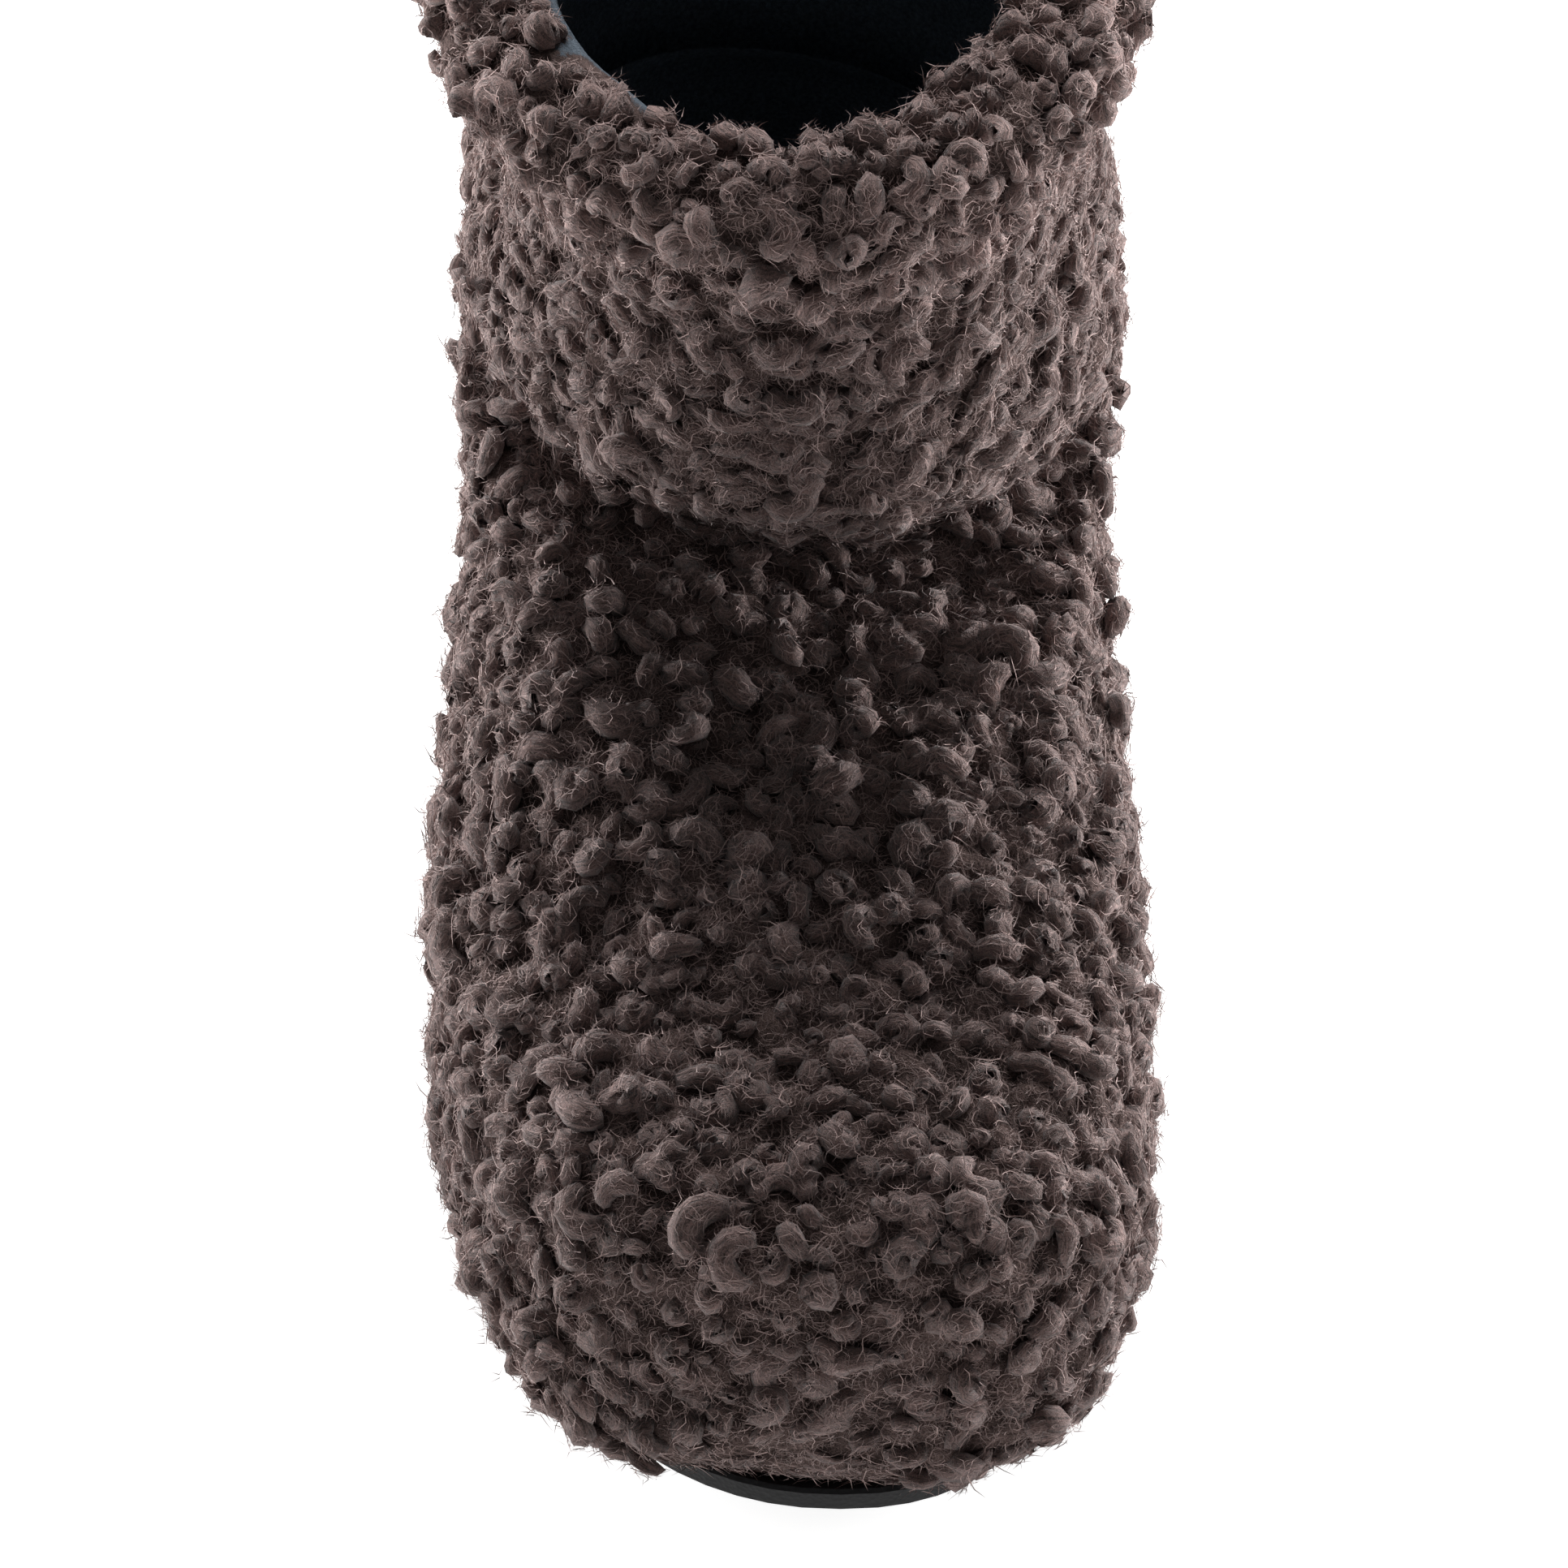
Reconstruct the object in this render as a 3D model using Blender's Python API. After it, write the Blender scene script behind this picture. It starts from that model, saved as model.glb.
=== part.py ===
"""A right-foot bootie slipper in curly boucle pile: outsole, insole, upper and shaft.

Metres, +Z up. The toe points to -Y, the heel to +Y, and the inner side of the foot is +X.
The shoe stands on its sole at Z = 0, with the middle of its outer box over the origin.
"""

import math
from collections import namedtuple
from functools import lru_cache

import bmesh
import bpy
from mathutils import Vector, noise

# Driving sizes of the outer form, measured over the pile
LENGTH = 0.262
BALL_WIDTH = 0.108
WAIST_WIDTH = 0.098
HEEL_WIDTH = 0.088
TOE_HEIGHT = 0.056
INSTEP_HEIGHT = 0.079
ANKLE_BACK_HEIGHT = 0.074
ANKLE_WIDTH = 0.101
NECK_WIDTH = 0.091
COLLAR_WIDTH = 0.108
COLLAR_FRONT_HEIGHT = 0.144
COLLAR_BACK_HEIGHT = 0.152

# Shape of the last
TOE_SPRING = 0.006
SPRING_LENGTH = 0.075
TOE_TURN = 0.0085
TURN_LENGTH = 0.130
ARCH_RISE = 0.0015
ARCH_CUT = 0.005
SEAM_TILT = 0.007
NECK_SWAY = 0.0025

# Walls, plates and fits
UPPER_WALL = 0.0070
SHAFT_WALL = 0.0080
COLLAR_ROLL = 0.0200
OUTSOLE_THICKNESS = 0.0050
OUTSOLE_EDGE = 0.0012
INSOLE_THICKNESS = 0.0045
INSOLE_EDGE = 0.0008
FIT_GAP = 0.0003

# Locks of the pile that stand out of the wall
LOCK_HEIGHT = 0.0030
LOCK_PITCH = 0.015

# The share of a wall's rise, at either edge, where its thickness turns level
LEVEL_SHARE = 0.25

# The share of the shaft's rise where its wall starts to swell into the roll
ROLL_START = 0.72

# Fineness of the lofts
PLACES_AROUND = 72
UPPER_RINGS = 27
SHAFT_RINGS = 13
INNER_STEP = 2
ROLL_STEPS = 5

# A section: its foremost and rearmost places as shares of LENGTH, their heights, its width and
# the place of that width, the bluntness of its front and rear halves, the heel's share of the
# width, how far its inner side hangs lower, and how far it sways to the inner side.
Ring = namedtuple("Ring", "name front front_height back back_height width widest front_blunt rear_blunt heel tilt sway")

FEATHER_HEIGHT = OUTSOLE_THICKNESS + FIT_GAP
HEEL_SHARE = HEEL_WIDTH / BALL_WIDTH

# The foot's sections, from the sole's edge up to the ankle seam
UPPER_TABLE = (
    Ring("feather edge", 0.008, FEATHER_HEIGHT, 0.986, FEATHER_HEIGHT,
         0.88 * BALL_WIDTH, 0.36, 2.25, 2.5, 0.94 * HEEL_SHARE, 0.0, 0.0),
    Ring("sole swell", 0.000, 0.26 * TOE_HEIGHT, 0.998, 0.22 * ANKLE_BACK_HEIGHT,
         0.97 * BALL_WIDTH, 0.36, 3.0, 2.5, HEEL_SHARE, 0.0, 0.0),
    Ring("toe face", 0.002, 0.48 * TOE_HEIGHT, 1.000, 0.36 * ANKLE_BACK_HEIGHT,
         1.00 * BALL_WIDTH, 0.37, 3.1, 2.5, HEEL_SHARE, 0.0, 0.0),
    Ring("toe shoulder", 0.020, 0.80 * TOE_HEIGHT, 0.998, 0.48 * ANKLE_BACK_HEIGHT,
         0.99 * BALL_WIDTH, 0.38, 3.0, 2.4, HEEL_SHARE, 0.0, 0.0),
    Ring("toe top", 0.074, 1.00 * TOE_HEIGHT, 0.994, 0.58 * ANKLE_BACK_HEIGHT,
         0.96 * BALL_WIDTH, 0.40, 2.6, 2.4, HEEL_SHARE, 0.0, 0.0),
    Ring("toe crease", 0.162, 0.77 * INSTEP_HEIGHT, 0.989, 0.68 * ANKLE_BACK_HEIGHT,
         0.50 * (0.95 * BALL_WIDTH + WAIST_WIDTH), 0.42, 2.45, 2.3, 0.92, 0.0, 0.0),
    Ring("vamp", 0.265, 0.88 * INSTEP_HEIGHT, 0.984, 0.79 * ANKLE_BACK_HEIGHT,
         WAIST_WIDTH, 0.44, 2.4, 2.3, 0.98, 0.30 * SEAM_TILT, 0.0),
    Ring("instep", 0.370, 0.96 * INSTEP_HEIGHT, 0.979, 0.90 * ANKLE_BACK_HEIGHT,
         ANKLE_WIDTH, 0.47, 2.2, 2.2, 1.0, 0.65 * SEAM_TILT, 0.0),
    Ring("ankle seam", 0.472, 1.00 * INSTEP_HEIGHT, 0.974, 1.00 * ANKLE_BACK_HEIGHT,
         ANKLE_WIDTH, 0.50, 2.0, 2.2, 1.0, SEAM_TILT, 0.0),
)

SHAFT_FRONT_FOOT = INSTEP_HEIGHT + FIT_GAP
SHAFT_BACK_FOOT = ANKLE_BACK_HEIGHT + FIT_GAP
SHAFT_FRONT_RISE = COLLAR_FRONT_HEIGHT - 0.5 * COLLAR_ROLL - SHAFT_FRONT_FOOT
SHAFT_BACK_RISE = COLLAR_BACK_HEIGHT - 0.5 * COLLAR_ROLL - SHAFT_BACK_FOOT


def shaft_ring(name, rise, front, back, width, front_blunt, tilt, sway):
    """A section of the shaft at a share of its rise from the ankle seam to the collar's root."""
    front_height = SHAFT_FRONT_FOOT + rise * SHAFT_FRONT_RISE
    back_height = SHAFT_BACK_FOOT + rise * SHAFT_BACK_RISE
    return Ring(name, front, front_height, back, back_height, width, 0.50, front_blunt, 2.2, 1.0, tilt, sway)


# The shaft's sections, from the ankle seam up to the root of the rolled collar
SHAFT_TABLE = (
    shaft_ring("shaft seam", 0.00, 0.472, 0.974, ANKLE_WIDTH, 2.0, SEAM_TILT, 0.0),
    shaft_ring("slouch", 0.17, 0.448, 0.976, 1.01 * ANKLE_WIDTH, 2.0, 0.85 * SEAM_TILT, 0.3 * NECK_SWAY),
    shaft_ring("lower shaft", 0.38, 0.460, 0.970, 0.5 * (ANKLE_WIDTH + NECK_WIDTH), 2.0,
               0.60 * SEAM_TILT, 0.8 * NECK_SWAY),
    shaft_ring("neck", 0.62, 0.478, 0.962, NECK_WIDTH, 2.0, 0.35 * SEAM_TILT, NECK_SWAY),
    shaft_ring("under the roll", 0.84, 0.486, 0.962, 1.01 * NECK_WIDTH, 2.0, 0.15 * SEAM_TILT, 0.6 * NECK_SWAY),
    shaft_ring("collar root", 1.00, 0.480, 0.972, COLLAR_WIDTH, 2.0, 0.0, 0.0),
)

# Colours and finishes: name, linear base colour, roughness
PILE_TAUPE = ("boucle pile, taupe", (0.105, 0.078, 0.068), 0.95)
SOLE_BLACK = ("soft rubber, black", (0.012, 0.012, 0.012), 0.75)
FLEECE_SLATE = ("fleece, slate", (0.045, 0.050, 0.058), 0.95)


def smooth_step(value):
    """0 below 0, 1 above 1, and an even ramp with flat ends between."""
    value = min(1.0, max(0.0, value))
    return value * value * (3.0 - 2.0 * value)


def bell(value):
    """1 at 0, falling evenly to 0 at -1 and +1."""
    return smooth_step(1.0 - abs(value))


def spring_at(y):
    """How far the sole has left the floor at a place along the foot."""
    toe = -LENGTH / 2
    reach = max(0.0, 1.0 - (y - toe) / SPRING_LENGTH)
    return TOE_SPRING * reach**2


def turn_at(y):
    """How far the middle of the foot has swung to the inner side."""
    toe = -LENGTH / 2
    reach = max(0.0, 1.0 - (y - toe) / TURN_LENGTH)
    return TOE_TURN * reach**2.5


@lru_cache(maxsize=None)
def blend_rows(table, share):
    """The section at a share of the way up a table, on a curve through its rows."""
    place = share * (len(table) - 1)
    row = min(int(place), len(table) - 2)
    step = place - row
    rows = [table[max(row - 1, 0)], table[row], table[row + 1], table[min(row + 2, len(table) - 1)]]
    values = []
    for before, start, end, after in zip(*[tuple(section)[1:] for section in rows]):
        lean_in = 0.5 * (end - before)
        lean_out = 0.5 * (after - start)
        curve = (2 * start - 2 * end + lean_in + lean_out) * step**3
        curve += (3 * end - 3 * start - 2 * lean_in - lean_out) * step**2
        values.append(curve + lean_in * step + start)
    return Ring(table[row].name, *values)


def ring_point(ring, angle):
    """A point of a section: angle 0 is its front, a quarter turn its inner side, a half turn its back."""
    ahead = math.cos(angle) > 0
    power = 2.0 / (ring.front_blunt if ahead else ring.rear_blunt)
    along = math.copysign(abs(math.cos(angle)) ** power, math.cos(angle))
    across = math.copysign(abs(math.sin(angle)) ** power, math.sin(angle))
    reach = ring.widest if ahead else 1.0 - ring.widest
    share = ring.widest - along * reach
    y = LENGTH * (ring.front + (ring.back - ring.front) * share - 0.5)
    half_width = 0.5 * ring.width
    half_width *= 1.0 + (ring.heel - 1.0) * smooth_step((share - ring.widest) / (0.85 - ring.widest))
    low = smooth_step(1.0 - (ring.front_height - FEATHER_HEIGHT) / TOE_HEIGHT)
    if across > 0:
        half_width -= ARCH_CUT * low * bell((share - 0.62) / 0.22)
    height = ring.front_height + (ring.back_height - ring.front_height) * share
    x = half_width * across + turn_at(y) + ring.sway
    return Vector((x, y, height - ring.tilt * across + spring_at(y)))


def surface_point(table, share, angle):
    return ring_point(blend_rows(table, round(min(1.0, max(0.0, share)), 6)), angle)


def surface_normal(table, share, angle):
    """The outward direction, from two short steps on the surface."""
    step = 0.01
    upward = surface_point(table, share + step, angle) - surface_point(table, share - step, angle)
    around = surface_point(table, share, angle + step) - surface_point(table, share, angle - step)
    return around.cross(upward).normalized()


def level_normal(table, share, angle):
    """The outward direction, laid level."""
    normal = surface_normal(table, share, angle)
    return Vector((normal.x, normal.y, 0.0)).normalized()


def wall_normal(table, share, angle):
    """The way through the wall, level at either edge. Both sides of the ankle seam share one."""
    if table is SHAFT_TABLE and share == 0.0:
        return level_normal(UPPER_TABLE, 1.0, angle)
    normal = surface_normal(table, share, angle)
    normal.z *= smooth_step(min(share, 1.0 - share) / LEVEL_SHARE)
    return normal.normalized()


def ring_angles():
    return [2.0 * math.pi * place / PLACES_AROUND for place in range(PLACES_AROUND)]


def lock_height(point):
    """How far a lock of the pile stands out at a point: each lock is a low dome round its own middle."""
    nearest, next_nearest = noise.voronoi(point / LOCK_PITCH)[0][:2]
    return LOCK_HEIGHT * smooth_step(1.6 * (next_nearest - nearest))


def outer_rings(table, count):
    """The outer skin's rings, with the locks of the pile raised on them."""
    rings = []
    for number in range(count):
        share = number / (count - 1)
        edge_fade = smooth_step(share / 0.08) * smooth_step((1.0 - share) / 0.08)
        ring = []
        for angle in ring_angles():
            point = surface_point(table, share, angle)
            stand = (lock_height(point) - 0.5 * LOCK_HEIGHT) * edge_fade
            ring.append(point + surface_normal(table, share, angle) * stand)
        rings.append(ring)
    return rings


def inner_rings(table, count, wall_at):
    """The inner skin's rings, from the top down, a wall's thickness inside the outer skin."""
    rings = []
    for number in [*range(count - 1, 0, -INNER_STEP), 0]:
        share = number / (count - 1)
        wall = wall_at(share)
        ring = [surface_point(table, share, a) - wall_normal(table, share, a) * wall for a in ring_angles()]
        rings.append(ring)
    return rings


def collar_roll_rings():
    """The rings over the top of the collar: a half circle from its outer to its inner root."""
    radius = 0.5 * COLLAR_ROLL
    rings = []
    for step in range(1, ROLL_STEPS + 1):
        turn = math.pi * step / (ROLL_STEPS + 1)
        ring = []
        for angle in ring_angles():
            outward = level_normal(SHAFT_TABLE, 1.0, angle)
            root = surface_point(SHAFT_TABLE, 1.0, angle) - outward * radius
            direction = outward * math.cos(turn) + Vector((0, 0, math.sin(turn)))
            swell = radius + (lock_height(root + direction * radius) - 0.5 * LOCK_HEIGHT) * math.sin(turn)
            ring.append(root + direction * swell)
        rings.append(ring)
    return rings


def closed_tube(name, rings):
    """A mesh through rings of equal count, joined side by side, and the last to the first."""
    shell = bmesh.new()
    loops = [[shell.verts.new(point) for point in ring] for ring in rings]
    for ring_a, ring_b in zip(loops, loops[1:] + loops[:1]):
        for i in range(len(ring_a)):
            j = (i + 1) % len(ring_a)
            shell.faces.new((ring_a[i], ring_a[j], ring_b[j], ring_b[i]))
    return finished_mesh(shell, name)


def plate(name, rings):
    """A mesh through rings from bottom to top, with ruled faces across the first and the last."""
    solid = bmesh.new()
    loops = [[solid.verts.new(point) for point in ring] for ring in rings]
    for ring_a, ring_b in zip(loops, loops[1:]):
        for i in range(len(ring_a)):
            j = (i + 1) % len(ring_a)
            solid.faces.new((ring_a[i], ring_a[j], ring_b[j], ring_b[i]))
    for loop in (loops[0], loops[-1]):
        half = len(loop) // 2
        for i in range(half):
            corners = [loop[i], loop[i + 1], loop[-i - 1], loop[-i]]
            solid.faces.new(list(dict.fromkeys(corners)))
    return finished_mesh(solid, name)


def finished_mesh(shape, name):
    """Triangles with their faces pointing out, as a mesh shaded smooth up to a fold."""
    bmesh.ops.triangulate(shape, faces=shape.faces)
    bmesh.ops.recalc_face_normals(shape, faces=shape.faces)
    mesh = bpy.data.meshes.new(name)
    shape.to_mesh(mesh)
    shape.free()
    mesh.shade_smooth()
    mesh.set_sharp_from_angle(angle=math.radians(50))
    return mesh


def foot_outline(inset, height_at):
    """The sole's outline, drawn in by inset, at the height that height_at gives along the foot."""
    outline = []
    for angle in ring_angles():
        point = surface_point(UPPER_TABLE, 0.0, angle) - level_normal(UPPER_TABLE, 0.0, angle) * inset
        point.z = height_at(point.y)
        outline.append(point)
    return outline


def tread_height(y):
    """The underside: flat at heel and forefoot, with a low arch between and the spring at the toe."""
    share = (y + LENGTH / 2) / LENGTH
    return spring_at(y) + ARCH_RISE * bell((share - 0.60) / 0.20)


def build_outsole():
    top = OUTSOLE_THICKNESS
    rings = [
        foot_outline(OUTSOLE_EDGE, tread_height),
        foot_outline(0.0, lambda y: tread_height(y) + OUTSOLE_EDGE),
        foot_outline(0.0, lambda y: spring_at(y) + top - 0.5 * OUTSOLE_EDGE),
        foot_outline(0.5 * OUTSOLE_EDGE, lambda y: spring_at(y) + top),
    ]
    return plate("outsole", rings)


def build_insole():
    inset = UPPER_WALL + FIT_GAP
    base = OUTSOLE_THICKNESS + FIT_GAP
    top = base + INSOLE_THICKNESS
    rings = [
        foot_outline(inset, lambda y: spring_at(y) + base),
        foot_outline(inset, lambda y: spring_at(y) + top - INSOLE_EDGE),
        foot_outline(inset + INSOLE_EDGE, lambda y: spring_at(y) + top),
    ]
    return plate("insole", rings)


def build_upper():
    skin = outer_rings(UPPER_TABLE, UPPER_RINGS)
    inside = inner_rings(UPPER_TABLE, UPPER_RINGS, lambda share: UPPER_WALL + (SHAFT_WALL - UPPER_WALL) * share)
    return closed_tube("upper", skin + inside)


def build_shaft():
    skin = outer_rings(SHAFT_TABLE, SHAFT_RINGS)
    inside = inner_rings(
        SHAFT_TABLE,
        SHAFT_RINGS,
        lambda share: SHAFT_WALL + (COLLAR_ROLL - SHAFT_WALL) * smooth_step((share - ROLL_START) / (1.0 - ROLL_START)),
    )
    return closed_tube("shaft", skin + collar_roll_rings() + inside)


def make_material(name, colour, roughness):
    material = bpy.data.materials.new(name)
    material.use_nodes = True
    shader = material.node_tree.nodes["Principled BSDF"]
    shader.inputs["Base Color"].default_value = (*colour, 1.0)
    shader.inputs["Roughness"].default_value = roughness
    shader.inputs["Metallic"].default_value = 0.0
    return material


def centre_over_origin(meshes):
    """Moves the whole shoe level, so that the middle of its outer box is over the origin."""
    points = [vertex.co for mesh in meshes for vertex in mesh.vertices]
    middle_x = 0.5 * (min(p.x for p in points) + max(p.x for p in points))
    middle_y = 0.5 * (min(p.y for p in points) + max(p.y for p in points))
    for mesh in meshes:
        for vertex in mesh.vertices:
            vertex.co.x -= middle_x
            vertex.co.y -= middle_y


def main():
    for old in list(bpy.data.objects):
        bpy.data.objects.remove(old)
    parts = bpy.data.collections.new("bootie slipper")
    bpy.context.scene.collection.children.link(parts)
    pieces = [
        (build_outsole(), SOLE_BLACK),
        (build_insole(), FLEECE_SLATE),
        (build_upper(), PILE_TAUPE),
        (build_shaft(), PILE_TAUPE),
    ]
    centre_over_origin([mesh for mesh, finish in pieces])
    for mesh, finish in pieces:
        piece = bpy.data.objects.new(mesh.name, mesh)
        material = bpy.data.materials.get(finish[0]) or make_material(*finish)
        mesh.materials.append(material)
        parts.objects.link(piece)


main()
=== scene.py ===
# %% [markdown]
# # A curly bootie slipper
#
# This lesson dresses a plain model of a bootie slipper in deep boucle pile. The plain model
# already has the right shape and size: an outsole, an insole, a foot part and a shaft with a
# rolled collar. What it lacks is the pile, the fleece inside, the creases and the studio.

# %% The plain model
import math
from collections import namedtuple
from itertools import product

import bmesh
import bpy
import numpy as np
from mathutils import Matrix, Vector, noise
from mathutils.bvhtree import BVHTree


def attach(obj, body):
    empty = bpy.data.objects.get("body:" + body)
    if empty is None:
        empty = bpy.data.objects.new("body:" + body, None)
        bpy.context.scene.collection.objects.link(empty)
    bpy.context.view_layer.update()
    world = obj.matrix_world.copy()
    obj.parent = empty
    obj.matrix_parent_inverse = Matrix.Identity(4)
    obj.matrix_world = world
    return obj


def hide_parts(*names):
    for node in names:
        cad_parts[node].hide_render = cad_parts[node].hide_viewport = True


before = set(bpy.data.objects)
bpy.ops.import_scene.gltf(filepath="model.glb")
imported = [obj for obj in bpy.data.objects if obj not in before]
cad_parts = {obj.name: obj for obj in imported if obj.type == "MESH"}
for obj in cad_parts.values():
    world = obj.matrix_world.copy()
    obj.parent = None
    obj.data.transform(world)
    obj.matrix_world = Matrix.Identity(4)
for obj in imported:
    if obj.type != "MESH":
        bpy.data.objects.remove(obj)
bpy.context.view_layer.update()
MM = 0.001

# %% [markdown]
# ## The camera and the studio
#
# The slipper is seen from the front and from 45 degrees up, through a long lens, close enough
# that the top of the collar leaves the picture. A long lens far away keeps the toe from
# looking larger than the heel. The camera is placed first, because everything else is judged
# through it.

# %% Camera
PICTURE_WIDTH = 1932
CAMERA_HEIGHT_ANGLE = math.radians(45.0)
CAMERA_DISTANCE = 1.10
PIXELS_PER_MM = 8.43
LOOK_AT = Vector((-0.0005, -0.0332, 0.0568))
SENSOR_MM = 36.0

camera_data = bpy.data.cameras.new("camera")
camera_data.sensor_width = SENSOR_MM
camera_data.lens = PIXELS_PER_MM * CAMERA_DISTANCE / MM * SENSOR_MM / PICTURE_WIDTH
camera = bpy.data.objects.new("camera", camera_data)
bpy.context.scene.collection.objects.link(camera)
back = Vector((0.0, -math.cos(CAMERA_HEIGHT_ANGLE), math.sin(CAMERA_HEIGHT_ANGLE)))
camera.location = LOOK_AT + back * CAMERA_DISTANCE
camera.rotation_euler = (-back).to_track_quat("-Z", "Y").to_euler()
bpy.context.scene.camera = camera
print("lens, mm:", round(camera_data.lens, 1))

# %% [markdown]
# The slipper's two sides are far brighter than the top of its toe, so the light comes from two
# low soft boxes, one at each side and a little behind. A third stands high up behind and picks
# out the collar. Little comes from the camera's side. The floor is nearly white and glows a
# little, so that it fades into the pale background.

# %% Colours, nodes and materials
def hex_colour(code):
    """An sRGB hex colour as the linear red, green, blue and alpha that a shader wants."""
    parts = [int(code[i : i + 2], 16) / 255 for i in (0, 2, 4)]
    linear = (c / 12.92 if c <= 0.04045 else ((c + 0.055) / 1.055) ** 2.4 for c in parts)
    return (*linear, 1.0)


def add_node(tree, kind, settings=None, **links):
    """Adds a node. settings are its own options, links are its inputs, as values or as sockets."""
    node = tree.nodes.new(kind)
    for name, value in (settings or {}).items():
        setattr(node, name, value)
    for name, value in links.items():
        key = int(name[1:]) if name[0] == "_" and name[1:].isdigit() else name.replace("_", " ")
        if isinstance(value, bpy.types.NodeSocket):
            tree.links.new(value, node.inputs[key])
        else:
            node.inputs[key].default_value = value
    return node


def new_material(name, **settings):
    """A material with its surface shader, and the tree to add a pattern to."""
    material = bpy.data.materials.new(name)
    material.use_nodes = True
    shader = material.node_tree.nodes["Principled BSDF"]
    for key, value in settings.items():
        shader.inputs[key.replace("_", " ")].default_value = value
    return material, material.node_tree, shader


# %% Floor
FLOOR_SIZE = 6.0
FLOOR_GLOW = 0.85  # enough for its far edge to fade into the background

floor_mesh = bpy.data.meshes.new("floor")
floor_shape = bmesh.new()
bmesh.ops.create_grid(floor_shape, x_segments=1, y_segments=1, size=FLOOR_SIZE / 2)
floor_shape.to_mesh(floor_mesh)
floor_shape.free()
floor = bpy.data.objects.new("floor", floor_mesh)
bpy.context.scene.collection.objects.link(floor)
floor_paint, _, _ = new_material(
    "matt white lit table",
    Base_Color=hex_colour("f4f3f2"),
    Roughness=0.9,
    Emission_Color=(1, 1, 1, 1),
    Emission_Strength=FLOOR_GLOW,
)
floor_mesh.materials.append(floor_paint)
print("floor, metres across:", FLOOR_SIZE)

# %% Lights and background
LIGHTS_AIM = Vector((0.0, 0.02, 0.07))
SOFT_BOXES = (
    # name, place, width and height, watts
    ("left box", (-0.60, 0.30, 0.07), (0.5, 0.13), 9.2),
    ("right box", (0.60, 0.29, 0.07), (0.5, 0.13), 10.2),
    ("back box", (0.0, 0.85, 0.86), (0.8, 0.4), 20.5),
)
for name, place, (width, height), watts in SOFT_BOXES:
    lamp = bpy.data.lights.new(name, "AREA")
    lamp.shape = "RECTANGLE"
    lamp.size, lamp.size_y = width, height
    lamp.energy = watts
    lamp_object = bpy.data.objects.new(name, lamp)
    lamp_object.location = place
    aim = LIGHTS_AIM - Vector(place)
    lamp_object.rotation_euler = aim.to_track_quat("-Z", "Y").to_euler()
    bpy.context.scene.collection.objects.link(lamp_object)

WORLD_STRENGTH = 0.13
world = bpy.data.worlds.new("pale studio")
world.use_nodes = True
world.node_tree.nodes["Background"].inputs["Color"].default_value = hex_colour("ffffff")
world.node_tree.nodes["Background"].inputs["Strength"].default_value = WORLD_STRENGTH
bpy.context.scene.world = world
bpy.context.scene.view_settings.view_transform = "Standard"
print("soft boxes:", ", ".join(name for name, *_ in SOFT_BOXES))

# %% [markdown]
# ## The cloth under the pile
#
# Boucle pile is a knitted backing with curls of yarn standing on it, and between the curls the
# backing lies in deep shade. The plain model's foot part and shaft are tubes with a real wall,
# whose outside has low domes where the pile stands out. A welded copy of each becomes the
# cloth: its domes are smoothed away, its outside is drawn in to make room for the curls, and
# its inside becomes the fleece lining. A copy keeps the cloth exactly where the model has it,
# which a newly drawn tube would not. The pile goes a little way down inside the collar, but at
# one place on the left the lining has come up, and its fleece shows.

# %% Which part of each wall is the outside
SHAFT_AXIS = Vector((0.0, 0.056, 0.0))
FOOT_AXIS_HEIGHT = 0.030
FOOT_AXIS_TOE = -0.090
FOOT_AXIS_HEEL = 0.085
COLLAR_HEIGHT = 0.148
COLLAR_CLIMB = 0.004


def foot_axis(point):
    """The nearest place on a line through the middle of the foot."""
    y = min(max(point.y, FOOT_AXIS_TOE), FOOT_AXIS_HEEL)
    return Vector((0.0, y, FOOT_AXIS_HEIGHT))


def looks_outward(node, face):
    """Whether a face looks away from the middle of the foot or of the shaft."""
    middle = face.calc_center_median()
    if node == "upper":
        return face.normal.dot(middle - foot_axis(middle)) > 0.0
    level = middle - SHAFT_AXIS
    return face.normal.x * level.x + face.normal.y * level.y > 0.0


def collar_top(point):
    """The height of the collar's top at a point: it climbs from the front to the back."""
    return COLLAR_HEIGHT + COLLAR_CLIMB * math.sin(math.atan2(point.y - SHAFT_AXIS.y, point.x))


front_and_back = [round((COLLAR_HEIGHT + climb) / MM) for climb in (-COLLAR_CLIMB, COLLAR_CLIMB)]
print("collar's top at the front and at the back, mm:", front_and_back)

# %% Marking the outside, the lining and the sewn edges
COLLAR_TURN = 5.5 * MM  # how far the pile goes down inside the collar
LINING_UP = Vector((-0.030, 0.034, 0.146))  # where the lining has come up
LINING_UP_REACH = 13.0 * MM
LINING_UP_BY = 4.7 * MM
SEAM_REACH = 1.0 * MM  # edges closer than this to the next part are sewn to it
NEIGHBOURS = {"upper": ("shaft", "outsole", "insole"), "shaft": ("upper",)}


def nearness(gap, reach):
    """1 at a place, fading smoothly to 0 round it. A third is left one reach away."""
    return math.exp(-((gap / reach) ** 2))


def tree_of(mesh):
    """A mesh as a search tree, to ask how near a point is to it or what a ray hits."""
    shape = bmesh.new()
    shape.from_mesh(mesh)
    tree = BVHTree.FromBMesh(shape)
    shape.free()
    return tree


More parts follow.
